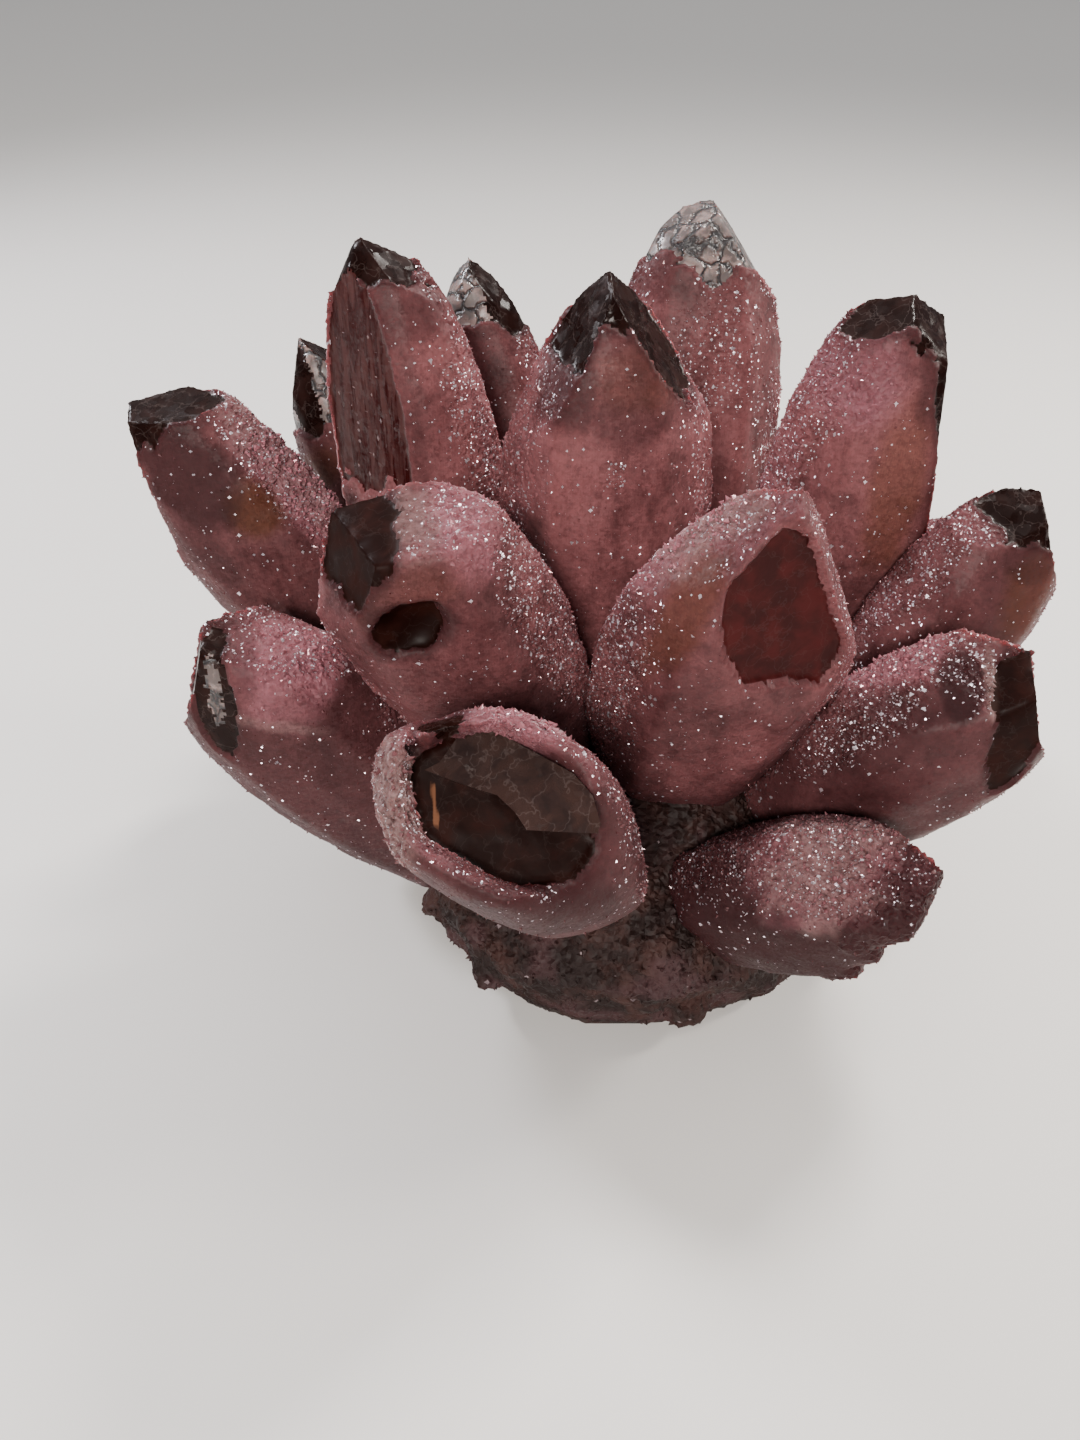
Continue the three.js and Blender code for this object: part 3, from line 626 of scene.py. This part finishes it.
def glitter_group():
    """Tiny facets: some glint, each leaning its own way, and the rest hardly lean."""
    tree, given, made = new_group(
        "Glitter",
        [("Scale", "NodeSocketFloat", 2600.0), ("Lean", "NodeSocketFloat", 0.9),
         ("Rest", "NodeSocketFloat", 0.1), ("Share", "NodeSocketFloat", 0.1)],
        [("Normal", "NodeSocketVector"), ("Glint", "NodeSocketFloat"), ("Cell", "NodeSocketFloat")])
    spot = add(tree, "ShaderNodeTexCoord").outputs["Object"]
    cells = add(tree, "ShaderNodeTexVoronoi", {"distance": "MINKOWSKI"}, Vector=spot,
                Scale=given["Scale"], Exponent=0.75)
    parts = add(tree, "ShaderNodeSeparateColor", Color=cells.outputs["Color"])
    chosen = maths(tree, "GREATER_THAN", parts.outputs[2], maths(tree, "SUBTRACT", 1.0, given["Share"]))
    reach = raised(tree, 0.28, parts.outputs[1], 0.75)
    glint = times(tree, chosen, maths(tree, "LESS_THAN", cells.outputs["Distance"], reach))
    lean = vector_maths(tree, "SUBTRACT", cells.outputs["Color"], (0.5, 0.5, 0.5))
    lean = vector_maths(tree, "SCALE", lean, raised(tree, given["Rest"], glint, given["Lean"]))
    tilted = vector_maths(tree, "ADD", lean, add(tree, "ShaderNodeNewGeometry").outputs["Normal"])
    feed(tree, made["Normal"], vector_maths(tree, "NORMALIZE", tilted))
    feed(tree, made["Glint"], glint)
    feed(tree, made["Cell"], parts.outputs[0])


def clouding_group():
    """Soft clouds of two sizes."""
    tree, given, made = new_group(
        "Clouding",
        [("Scale", "NodeSocketFloat", 200.0), ("Low", "NodeSocketFloat", 0.4),
         ("High", "NodeSocketFloat", 0.6), ("Stretch", "NodeSocketVector", PLAIN_STRETCH)],
        [("Mask", "NodeSocketFloat")])
    spot = add(tree, "ShaderNodeTexCoord").outputs["Object"]
    drawn = vector_maths(tree, "MULTIPLY", spot, given["Stretch"])
    noise = add(tree, "ShaderNodeTexNoise", Vector=drawn, Scale=given["Scale"], Detail=4.0,
                Roughness=0.6, Distortion=0.4)
    feed(tree, made["Mask"], ramp(tree, noise.outputs["Fac"], given["Low"], given["High"]))


def cracks_group():
    """Thin crooked cracks, as a mask and as a height."""
    tree, given, made = new_group(
        "Cracks",
        [("Scale", "NodeSocketFloat", 250.0), ("Width", "NodeSocketFloat", 0.05),
         ("Warp", "NodeSocketFloat", 0.004)],
        [("Mask", "NodeSocketFloat"), ("Height", "NodeSocketFloat")])
    spot = add(tree, "ShaderNodeTexCoord").outputs["Object"]
    sway = add(tree, "ShaderNodeTexNoise", Vector=spot, Scale=420.0, Detail=3.0).outputs["Color"]
    moved = vector_maths(tree, "ADD", spot, vector_maths(tree, "SCALE", sway, given["Warp"]))
    cells = add(tree, "ShaderNodeTexVoronoi", {"feature": "DISTANCE_TO_EDGE"}, Vector=moved,
                Scale=given["Scale"])
    near = ramp(tree, cells.outputs["Distance"], given["Width"], 0.0)
    feed(tree, made["Mask"], near)
    feed(tree, made["Height"], maths(tree, "SUBTRACT", 1.0, near))


def placed(tree, group, **values):
    """A copy of a node group in a material, with its own values."""
    node = tree.nodes.new("ShaderNodeGroup")
    node.node_tree = bpy.data.node_groups[group]
    for key, value in values.items():
        feed(tree, node.inputs[key], value)
    return node.outputs


def clouds_of(tree, scale, low, high, stretch=PLAIN_STRETCH):
    """The mask of one layer of soft clouds."""
    return placed(tree, "Clouding", Scale=scale, Low=low, High=high, Stretch=stretch)["Mask"]


def new_material(name, **values):
    """A material with constant values on its shader's own sockets: its tree and shader."""
    material = bpy.data.materials.new(name)
    material.use_nodes = True
    tree = material.node_tree
    shader = tree.nodes["Principled BSDF"]
    for key, value in values.items():
        feed(tree, shader.inputs[key.replace("_", " ")], value)
    return material, tree, shader


def dress(tree, shader, tone, rough, normal):
    """Gives a shader its colour, its roughness and its relief."""
    feed(tree, shader.inputs["Base Color"], tone)
    feed(tree, shader.inputs["Roughness"], rough)
    feed(tree, shader.inputs["Normal"], normal)


def mask_of(tree, name):
    """A mask that the mesh carries."""
    return add(tree, "ShaderNodeAttribute", {"attribute_name": name}).outputs["Fac"]


def druse_material(settings):
    """Sugary mauve quartz: cloudy body, frost with painted sheen, painted glow and shade, painted glints."""
    material, tree, shader = new_material(
        "sugary druse", IOR=QUARTZ_IOR, Subsurface_Weight=0.3, Subsurface_Scale=0.005,
        Subsurface_Radius=(1.0, 0.42, 0.42), Specular_IOR_Level=0.09)
    clouds = clouds_of(tree, 120.0, 0.38, 0.66, (1.0, 1.0, 0.5))
    mottle = clouds_of(tree, 330.0, 0.44, 0.66)
    specks = clouds_of(tree, 1100.0, 0.45, 0.75)
    sparkle, ash = mask_of(tree, "glint"), mask_of(tree, "ash")
    share = raised(tree, 0.008, sparkle, 0.38)
    rest = raised(tree, 0.2, sparkle, 0.25)
    fine = placed(tree, "Glitter", Scale=3300.0, Lean=1.1, Rest=rest, Share=share)
    wide = placed(tree, "Glitter", Scale=1900.0, Lean=1.1, Rest=rest, Share=times(tree, share, 0.35))
    glints = maths(tree, "MAXIMUM", fine["Glint"], wide["Glint"])
    cloudy = maths(tree, "ADD", times(tree, clouds, 0.42), times(tree, mottle, 0.26))
    body = blend_of(tree, cloudy, settings.body, settings.dark)
    # Painted glow: warm colour painted where light comes through the quartz.
    body = blend_of(tree, mask_of(tree, "painted_glow"), body, settings.painted_glow)
    # Deep: dark quartz, and painted shade in the valleys, on downward faces, in grooves and over the low
    # points.
    body = laid_over(tree, body, mask_of(tree, "deep"), 0.95, settings.dark)
    # Frost: sugary druse whose lighter tone is also painted light from above and painted edge sheen.
    body = blend_of(tree, mask_of(tree, "frost"), body, settings.frost)
    body = blend_of(tree, ash, body, (0.22, 0.135, 0.130))
    body = laid_over(tree, body, specks, raised(tree, 0.33, ash, 0.45), settings.dark)
    body = laid_over(tree, body, fine["Cell"], 0.28, settings.dark)
    # Glint cells get a near-white painted highlight colour, besides leaning as metallic facets.
    body = laid_over(tree, body, glints, 0.85, (0.78, 0.70, 0.76))
    feed(tree, shader.inputs["Metallic"], times(tree, glints, 0.8))
    dress(tree, shader, body, raised(tree, 0.46, glints, -0.12), fine["Normal"])
    return material


def sparkling_material(settings):
    """The small standing crystals: light mauve, with bright flat faces."""
    material, tree, shader = new_material(
        "sparkling quartz", IOR=QUARTZ_IOR, Roughness=0.2, Metallic=0.25, Specular_IOR_Level=0.6)
    # Lighter where frosted: frost, and the painted sheen that the frost stands for.
    tone = blend_of(tree, mask_of(tree, "frost"), settings.body, toned(settings.frost, 1.7))
    # The deep mask darkens them too: dark quartz and painted shade.
    tone = laid_over(tree, tone, mask_of(tree, "deep"), 0.7, settings.dark)
    feed(tree, shader.inputs["Base Color"], tone)
    return material


def glassy_material(name, colour, absorbed, density, rough, through, shine, crack_tone, chipped):
    """Clear dark quartz: see-through where it is thin, with fine cracks inside."""
    material, tree, shader = new_material(
        name, IOR=QUARTZ_IOR, Transmission_Weight=through, Specular_IOR_Level=shine)
    chips = placed(tree, "Glitter", Scale=700.0, Rest=chipped, Share=0.0)
    cracks = placed(tree, "Cracks", Scale=300.0, Width=0.035, Warp=0.006)
    clouds = clouds_of(tree, 260.0, 0.40, 0.68)
    tone = laid_over(tree, colour, clouds, 0.55, toned(colour, 3.0))
    grey = blend_of(tree, clouds, (0.036, 0.019, 0.016), (0.013, 0.007, 0.0065))
    tone = laid_over(tree, tone, mask_of(tree, "ash"), 0.85, grey)
    # Painted glow: warm colour painted where light comes through the glass.
    tone = blend_of(tree, ramp(tree, mask_of(tree, "painted_glow"), 0.6, 0.95), tone, (0.15, 0.060, 0.030))
    tone = laid_over(tree, tone, cracks["Mask"], crack_tone, (0.22, 0.17, 0.16))
    bump = add(tree, "ShaderNodeBump", Strength=0.3 * crack_tone, Distance=0.0004,
               Height=cracks["Height"], Normal=chips["Normal"])
    dress(tree, shader, tone, raised(tree, rough, clouds, 0.16), bump.outputs["Normal"])
    volume = add(tree, "ShaderNodeVolumeAbsorption", Color=absorbed, Density=density)
    tree.links.new(volume.outputs[0], tree.nodes["Material Output"].inputs["Volume"])
    return material


def pale_material(settings):
    """A light grey cap, crazed with dark cracks."""
    material, tree, shader = new_material(
        "pale quartz", IOR=QUARTZ_IOR, Subsurface_Weight=0.2, Subsurface_Scale=0.003,
        Coat_Weight=0.15, Coat_Roughness=0.08)
    wide = placed(tree, "Cracks", Scale=300.0, Width=0.14, Warp=0.003)
    fine = placed(tree, "Cracks", Scale=900.0, Width=0.06, Warp=0.003)
    clouds = clouds_of(tree, 420.0, 0.36, 0.56)
    tone = blend_of(tree, clouds, settings.pale, toned(settings.pale, 0.28))
    tone = laid_over(tree, tone, fine["Mask"], 0.4, (0.08, 0.06, 0.07))
    tone = blend_of(tree, wide["Mask"], tone, (0.012, 0.010, 0.012))
    bump = add(tree, "ShaderNodeBump", Strength=0.7, Distance=0.0005, Height=wide["Height"])
    dress(tree, shader, tone, raised(tree, 0.22, clouds, 0.25), bump.outputs["Normal"])
    return material


def streaked_material(settings):
    """A long dark face with streaks and fine glints that run along the point, the glints painted lighter."""
    material, tree, shader = new_material(
        "streaked quartz", IOR=QUARTZ_IOR, Subsurface_Weight=0.15, Subsurface_Scale=0.003,
        Specular_IOR_Level=0.08)
    streaks = clouds_of(tree, 900.0, 0.40, 0.62, (1.0, 1.0, 0.16))
    glitter = placed(tree, "Glitter", Scale=2000.0, Lean=0.8, Rest=0.15, Share=0.03)
    tone = blend_of(tree, streaks, settings.window, (0.060, 0.021, 0.020))
    # Lighter colour on the glint cells: painted highlights.
    tone = laid_over(tree, tone, glitter["Glint"], 0.4, (0.4, 0.3, 0.3))
    dress(tree, shader, tone, raised(tree, 0.25, streaks, 0.2), glitter["Normal"])
    return material


def matrix_material(settings):
    """Dark rough rock with a thin dusting of small crystals."""
    material, tree, shader = new_material("matrix rock", IOR=QUARTZ_IOR, Specular_IOR_Level=0.2)
    clouds = clouds_of(tree, 160.0, 0.40, 0.66)
    glitter = placed(tree, "Glitter", Scale=1500.0, Lean=0.9, Rest=0.4, Share=0.01)
    tone = blend_of(tree, clouds, settings.colour, toned(settings.colour, 3.4))
    tone = laid_over(tree, tone, mask_of(tree, "frost"), 0.7, (0.050, 0.022, 0.024))
    # Lighter colour on the glint cells: painted glints.
    tone = laid_over(tree, tone, glitter["Glint"], 0.5, (0.5, 0.4, 0.42))
    dress(tree, shader, tone, raised(tree, 0.62, glitter["Glint"], -0.45), glitter["Normal"])
    return material


def sawn_material(settings):
    """The sawn underside: matt, with fine saw marks."""
    material, tree, shader = new_material("sawn rock")
    marks = clouds_of(tree, 700.0, 0.35, 0.65, (0.08, 1.0, 1.0))
    clouds = clouds_of(tree, 120.0, 0.4, 0.6)
    tone = blend_of(tree, clouds, settings.sawn, toned(settings.sawn, 0.5))
    tone = laid_over(tree, tone, marks, 0.3, (0.03, 0.02, 0.02))
    bump = add(tree, "ShaderNodeBump", Strength=0.4, Distance=0.0002, Height=marks)
    dress(tree, shader, tone, raised(tree, 0.6, marks, 0.2), bump.outputs["Normal"])
    return material


def shared_materials(scene):
    """The finishes of the points, in the order of FINISHES."""
    if "sugary druse" not in bpy.data.materials:
        tips = scene.amethyst_tips
        glitter_group()
        clouding_group()
        cracks_group()
        druse_material(scene.amethyst_druse)
        glassy_material("smoky quartz", tips.smoky, absorbed=(0.42, 0.26, 0.24), density=260.0, rough=0.24,
                        through=0.12, shine=0.03, crack_tone=0.12, chipped=0.28)
        glassy_material("window quartz", tips.window, absorbed=(0.50, 0.15, 0.14), density=240.0, rough=0.34,
                        through=0.15, shine=0.02, crack_tone=0.04, chipped=0.0)
        glassy_material("hollow quartz", tips.hollow, absorbed=(0.45, 0.18, 0.14), density=260.0, rough=0.4,
                        through=0.1, shine=0.01, crack_tone=0.03, chipped=0.03)
        pale_material(tips)
        streaked_material(tips)
        sparkling_material(scene.amethyst_druse)
    return [bpy.data.materials[name] for name in (
        "sugary druse", "smoky quartz", "window quartz", "pale quartz", "streaked quartz",
        "hollow quartz", "sparkling quartz")]


def face_marks(spec, places, normals):
    """Which glassy face each vertex lies on, or -1."""
    marks = np.full(len(places), -1)
    for index, face in enumerate(spec["faces"]):
        normal, distance = plane_of(spec, face)
        near = np.abs(places @ normal - distance) < FACE_REACH
        marks[near & (normals @ normal > FACE_COSINE)] = index
    return marks


def pit_share(spec, places):
    """1 inside the pit in a point's front, falling to 0 round it."""
    if "pit" not in spec:
        return np.zeros(len(places))
    along, aside, size = spec["pit"]
    root, length, axis, front, right = directions_of(spec)
    offset = places - (root + axis * length * along + right * aside)
    across = np.hypot(offset @ right / 1.3, offset @ axis)
    across += 1.8 * (soft_noise(places, 1.9, 5) - 0.5)
    inside = 1 - step_between(across, size * 0.35, size * 0.5)
    return inside * (offset @ front > 0)


def patch_share(spec, patch, places, seed):
    """1 inside a patch with a ragged edge, falling to 0 outside it."""
    kind, strength, centre, half, turn = patch
    root, length, axis, front, right = directions_of(spec)
    offset = places - (root + axis * length * centre[0] + right * centre[1] + front * centre[2])
    angle = math.radians(turn)
    along = (offset @ axis * math.cos(angle) + offset @ right * math.sin(angle)) / half[0]
    aside = (offset @ right * math.cos(angle) - offset @ axis * math.sin(angle)) / half[1]
    away = (np.abs(along) ** 2.4 + np.abs(aside) ** 2.4 + np.abs(offset @ front / half[2]) ** 2.4)
    ragged = 1.3 if kind == "ash" else 0.5
    away = away ** (1 / 2.4) + ragged * wobble(places, 2.6, seed)
    soft = 0.35 if kind in MASKS else 0.12
    return strength * (1 - step_between(away, 1 - soft, 1 + soft))


def patches_of(spec, kinds, places, seed):
    """Each of a point's patches that is of these kinds, and its share at each vertex."""
    for number, patch in enumerate(spec.get("patches", [])):
        if patch[0] in kinds:
            yield patch[0], patch_share(spec, patch, places, seed + 20 + number)


def druse_masks(spec, places, normals, seed):
    """Where a point's druse is frosted, dark, ashen, glinting, rough or grooved, with painted shade, sheen
    and glow.
    """
    root, length, axis, front, right = directions_of(spec)
    along = (places - root) @ axis / length
    edge = step_between(np.abs(normals @ right), 0.55, 0.95)
    top = step_between(normals[:, 2], 0.45, 0.95)
    clouds = cloudy_noise(places, 6.0, seed + 5)
    low = spec["cap"][0]
    under_cap = step_between(along + 0.12 * wobble(places, 3.5, seed + 6), low - 0.13, low)
    shade = spec.get("shade", USUAL_SHADE)
    masks = {name: np.zeros(len(places)) for name in MASKS + SHAPERS}

    def raise_to(name, values):
        masks[name] = np.maximum(masks[name], values)

    # Frost on edges and up-facing faces: thick druse, and painted edge sheen and painted light from above.
    raise_to("frost", (0.30 * edge + 0.75 * top) * step_between(clouds, 0.25, 0.65))
    masks["frost"] *= step_between(along, 0.2, 0.6) * (1 - 0.8 * shade)
    # Darker near the roots, where the points crowd together: painted shade.
    raise_to("deep", 0.75 * (1 - step_between(along, 0.20, 0.50)))
    # Darker on downward faces: painted shade.
    raise_to("deep", 0.5 * step_between(-normals[:, 2], 0.0, 0.6))
    raise_to("deep", 0.6 * under_cap)
    # Glints gather on edges and up-facing faces, where the druse is painted with highlights.
    raise_to("glint", (0.06 + 0.85 * edge + 0.5 * top) * step_between(clouds, 0.15, 0.6))
    for kind, share in patches_of(spec, masks, places, seed):
        raise_to(kind, share)
    masks["frost"] *= 1 - 0.8 * np.maximum(masks["deep"], masks["painted_glow"])
    masks["glint"] *= 1 - 0.6 * np.minimum(masks["rough"], 1)
    # The point's shade: painted shade over its druse, most on the low points.
    raise_to("deep", shade * (1 - masks["frost"]))
    # Grooves are darkened: painted shade in the recess.
    raise_to("deep", masks["groove"])
    return masks


def bare_finish(spec, places, marks, net, seed):
    """The glassy finish of each vertex, or 0 where it is druse."""
    root, length, axis, front, right = directions_of(spec)
    ragged = wobble(places, 3.0, seed)
    along = (places - root) @ axis / length + 0.09 * ragged
    finish = np.zeros(len(places), int)
    low, kind = spec["cap"]
    finish[along > low] = FINISHES.index(kind)
    for index, face in enumerate(spec["faces"]):
        on_face = marks == index
        inner = spread_over(on_face, net, 6) + 0.4 * ragged > 0.56
        finish[on_face & inner & (along > face[4])] = FINISHES.index(face[3])
    near_face = spread_over(marks >= 0, net, 4) + 0.3 * ragged > 0.47
    for kind, share in patches_of(spec, FINISHES, places, seed):
        inside = share > 0.5
        if kind == "window":
            inside &= near_face
        finish[inside] = FINISHES.index(kind)
    finish[pit_share(spec, places) > 0.5] = FINISHES.index("hollow")
    return finish


def darken_round_glass(masks, finish, net):
    """The druse grows darker and barer towards the dark glassy faces."""
    dark_glass = np.isin(finish, [FINISHES.index("smoky"), FINISHES.index("hollow")])
    near_glass = np.clip(2.2 * spread_over(dark_glass, net, 45), 0, 0.9)
    masks["frost"] *= 1 - 0.7 * near_glass
    masks["deep"] = np.maximum(masks["deep"], near_glass)


def crust_lumps(places, masks, seed):
    """How far the soft lumps and the rough places lift the crust or sink it."""
    thick = np.maximum(masks["frost"], masks["ash"])
    lump = 0.5 * wobble(places, 4.5, seed + 9)
    lump += 0.7 * thick * (cloudy_noise(places, 1.6, seed + 11) - 0.4)
    lump += 1.4 * masks["rough"] * wobble(places, 2.2, seed + 12)
    return lump


def glassy_rise(places, finish, net, seed, sink):
    """How far the bare faces stand out: they lie sunk, with slight ripples."""
    depth = np.where(finish == FINISHES.index("window"), WINDOW_SINK, 1.0) * sink / MM
    ripple = 0.16 * (soft_noise(places, 2.6, seed + 3) - 0.5)
    ripple += 0.05 * (soft_noise(places, 0.9, seed + 4) - 0.5)
    return ripple - depth * spread_over(finish > 0, net, 3)


def grown_point(name, spec, seed, settings, tips):
    """A point of the cluster: its druse crust, its bare glassy faces and small crystals."""
    random = np.random.default_rng(seed)
    coarser = 1.0 if name in BEST_SIDE else HIDDEN_COARSER
    grain = settings.grain * coarser * 1
    places, quads = fine_skin(name, grain)
    net = net_of(places, quads)
    marks = face_marks(spec, places, normals_of(places, quads))
    free = spread_over(marks >= 0, net, 12) < 0.93 if "soft" in spec else marks < 0
    places = rounded(places, net, free, spec.get("soft", USUAL_SOFT))
    normals = normals_of(places, quads)
    finish = bare_finish(spec, places, marks, net, seed)
    bare = finish > 0
    masks = druse_masks(spec, places, normals, seed)
    darken_round_glass(masks, finish, net)

    frost, glint = masks["frost"], masks["glint"]
    coarse = np.clip(0.12 + 0.7 * frost + 0.6 * glint + 0.4 * masks["ash"] + masks["rough"], 0, 1.6)
    grains = settings.relief / MM * coarse * (random.random(len(places)) - 0.4)
    rise = settings.crust / MM + crust_lumps(places, masks, seed) + grains - masks["groove"]
    jitter = 0.5 * grain / MM * (random.random((len(places), 3)) - 0.5)
    crust = places + normals * rise[:, None] + jitter * coarse[:, None]
    flat = places + normals * glassy_rise(places, finish, net, seed, tips.sink)[:, None]
    places = np.where(bare[:, None], flat, crust)

    triangles = in_two(quads, random)
    finishes = np.where(bare[triangles].all(axis=1), finish[triangles[:, 0]], 0)
    smooth = (finishes > 0) | (coarse[triangles].mean(axis=1) < 0.42)

    wanted = settings.spread * (grain / MM) ** 2
    chance = np.where(bare, 0.0, wanted * (0.02 + 1.3 * frost + 1.6 * glint + masks["ash"]))
    swell = 0.8 + 0.4 * frost + 0.5 * masks["rough"]
    extra, fans, chosen = small_crystals(places, normals_of(places, quads), chance, swell, random)
    plate, rim = shard_plate(spec) if "shard" in spec else (places[:0], triangles[:0])
    carried = {}
    for mask in MASKS:
        values = np.clip(masks[mask], 0, 1)
        on_plate = np.full(len(plate), 1.0 if mask == "ash" else 0.0)
        carried[mask] = np.concatenate([values, np.repeat(values[chosen], CRYSTAL_SIDES + 1), on_plate])
    parts = [triangles, fans + len(places), rim + len(places) + len(extra)]
    return built_mesh(
        name + "_druse", np.concatenate([places, extra, plate]), np.concatenate(parts),
        np.concatenate([finishes, np.full(len(fans), FINISHES.index("sparkling")), np.ones(len(rim), int)]),
        np.concatenate([smooth, np.zeros(len(fans) + len(rim), bool)]), carried)


def grown_matrix(settings):
    """The lump of matrix: rough rock with small crystals on it, and its sawn underside."""
    random = np.random.default_rng(MATRIX_SEED)
    places, quads = fine_skin("matrix", settings.grain * (1))
    net = net_of(places, quads)
    sawn = places[:, 2] < SAWN
    places = rounded(places, net, ~sawn, 6)
    lumps = 1.6 * wobble(places, 7.0, 3) + 0.7 * wobble(places, 2.4, 4)
    rise = lumps + 0.5 * (random.random(len(places)) - 0.5)
    rise *= step_between(places[:, 2], SAWN, 3.0)
    places = places + normals_of(places, quads) * rise[:, None] * ~sawn[:, None]
    places[:, 2] = np.where(sawn, 0.0, np.maximum(places[:, 2], 0.02))
    frost = step_between(cloudy_noise(places, 5.0, 8), 0.5, 0.75) * ~sawn
    chance = np.where(sawn | (places[:, 2] < 1.5), 0.0, 0.02 + 0.12 * frost)
    extra, fans, chosen = small_crystals(
        places, normals_of(places, quads), chance, np.ones(len(places)), random, least=0.2, most=0.5)
    triangles = in_two(quads, random)
    under = (places[triangles][:, :, 2] < 0.01).all(axis=1)
    return built_mesh(
        "matrix_rock", np.concatenate([places, extra]), np.concatenate([triangles, fans + len(places)]),
        np.concatenate([under.astype(int), np.zeros(len(fans), int)]),
        np.concatenate([under, np.zeros(len(fans), bool)]),
        {"frost": np.concatenate([frost, np.repeat(frost[chosen], CRYSTAL_SIDES + 1)])})


def add_piece(name, mesh, node):
    """Puts a piece that stands for a node into the scene, on the cluster's one body."""
    piece = bpy.data.objects.new(name, mesh)
    bpy.context.scene.collection.objects.link(piece)
    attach(piece, "root")
    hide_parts(node)


class AMETHYST_OT_points(bpy.types.Operator):
    """Grow the druse-coated points"""
    bl_idname = "amethyst.points"
    bl_label = "Points"

    def execute(self, context):
        scene = context.scene
        materials = shared_materials(scene)
        for seed, (name, spec) in enumerate(POINTS.items(), start=1):
            mesh = grown_point(name, spec, seed, scene.amethyst_druse, scene.amethyst_tips)
            for material in materials:
                mesh.materials.append(material)
            add_piece(name.replace("point_", "crystal_"), mesh, name)
        return {"FINISHED"}


class AMETHYST_OT_matrix(bpy.types.Operator):
    """Make the lump of matrix that the points stand in"""
    bl_idname = "amethyst.matrix"
    bl_label = "Matrix"

    def execute(self, context):
        settings = context.scene.amethyst_matrix
        shared_materials(context.scene)
        mesh = grown_matrix(settings)
        mesh.materials.append(matrix_material(settings))
        mesh.materials.append(sawn_material(settings))
        add_piece("matrix_rock", mesh, "matrix")
        return {"FINISHED"}


def add_lamp(name, place, target, size, power, colour):
    """A square soft lamp at a place, turned to a target."""
    light = bpy.data.lights.new(name, "AREA")
    light.size = size
    light.energy = power
    light.color = colour
    lamp = bpy.data.objects.new(name, light)
    lamp.location = place
    lamp.rotation_euler = (Vector(target) - Vector(place)).to_track_quat("-Z", "Y").to_euler()
    bpy.context.scene.collection.objects.link(lamp)


class AMETHYST_OT_stage(bpy.types.Operator):
    """Set the floor, the light and the camera"""
    bl_idname = "amethyst.stage"
    bl_label = "Stage"

    def execute(self, context):
        settings = context.scene.amethyst_stage
        self.make_camera(settings)
        self.make_floor(settings)
        self.make_light()
        return {"FINISHED"}

    def make_camera(self, settings):
        lens = bpy.data.cameras.new("camera")
        lens.lens = settings.lens
        lens.sensor_width = 36.0
        lens.clip_start = 0.005
        lens.clip_end = 30.0
        camera = bpy.data.objects.new("camera", lens)
        camera.location = settings.camera
        camera.rotation_euler = (math.radians(90) - settings.pitch, 0.0, 0.0)
        bpy.context.scene.collection.objects.link(camera)
        bpy.context.scene.camera = camera

    def make_floor(self, settings):
        corners = [(-FLOOR_HALF, -FLOOR_HALF, 0), (FLOOR_HALF, -FLOOR_HALF, 0),
                   (FLOOR_HALF, FLOOR_HALF, 0), (-FLOOR_HALF, FLOOR_HALF, 0)]
        mesh = bpy.data.meshes.new("floor")
        mesh.from_pydata(corners, [], [(0, 1, 2, 3)])
        mesh.materials.append(new_material("floor", Base_Color=settings.floor, Roughness=0.55)[0])
        floor = bpy.data.objects.new("floor", mesh)
        bpy.context.scene.collection.objects.link(floor)

    def make_light(self):
        for name, (place, target, size, power, colour) in LAMPS.items():
            add_lamp(name, place, target, size, power, colour)
        world = bpy.data.worlds.new("studio")
        world.use_nodes = True
        sky = world.node_tree.nodes["Background"]
        sky.inputs["Color"].default_value = SKY
        sky.inputs["Strength"].default_value = SKY_STRENGTH
        bpy.context.scene.world = world


class AMETHYST_PT_panel(bpy.types.Panel):
    bl_label = "Amethyst cluster"
    bl_idname = "AMETHYST_PT_panel"
    bl_space_type = "VIEW_3D"
    bl_region_type = "UI"
    bl_category = "Amethyst"

    def draw(self, context):
        layout = self.layout
        for holder, operator in (("amethyst_druse", AMETHYST_OT_points), ("amethyst_tips", None),
                                 ("amethyst_matrix", AMETHYST_OT_matrix),
                                 ("amethyst_stage", AMETHYST_OT_stage)):
            settings = getattr(context.scene, holder)
            box = layout.box()
            for key in settings.__annotations__:
                box.prop(settings, key)
            if operator:
                box.operator(operator.bl_idname)


HOLDERS = {
    "amethyst_druse": DruseSettings,
    "amethyst_tips": TipSettings,
    "amethyst_matrix": MatrixSettings,
    "amethyst_stage": StageSettings,
}
CLASSES = [*HOLDERS.values(), AMETHYST_OT_stage, AMETHYST_OT_matrix, AMETHYST_OT_points, AMETHYST_PT_panel]


def register():
    for one in CLASSES:
        bpy.utils.register_class(one)
    for name, kind in HOLDERS.items():
        setattr(bpy.types.Scene, name, bpy.props.PointerProperty(type=kind))


def unregister():
    for name in HOLDERS:
        delattr(bpy.types.Scene, name)
    for one in reversed(CLASSES):
        bpy.utils.unregister_class(one)


def main():
    register()
    bpy.ops.amethyst.stage()
    bpy.ops.amethyst.matrix()
    bpy.ops.amethyst.points()


if __name__ == "__main__":
    main()
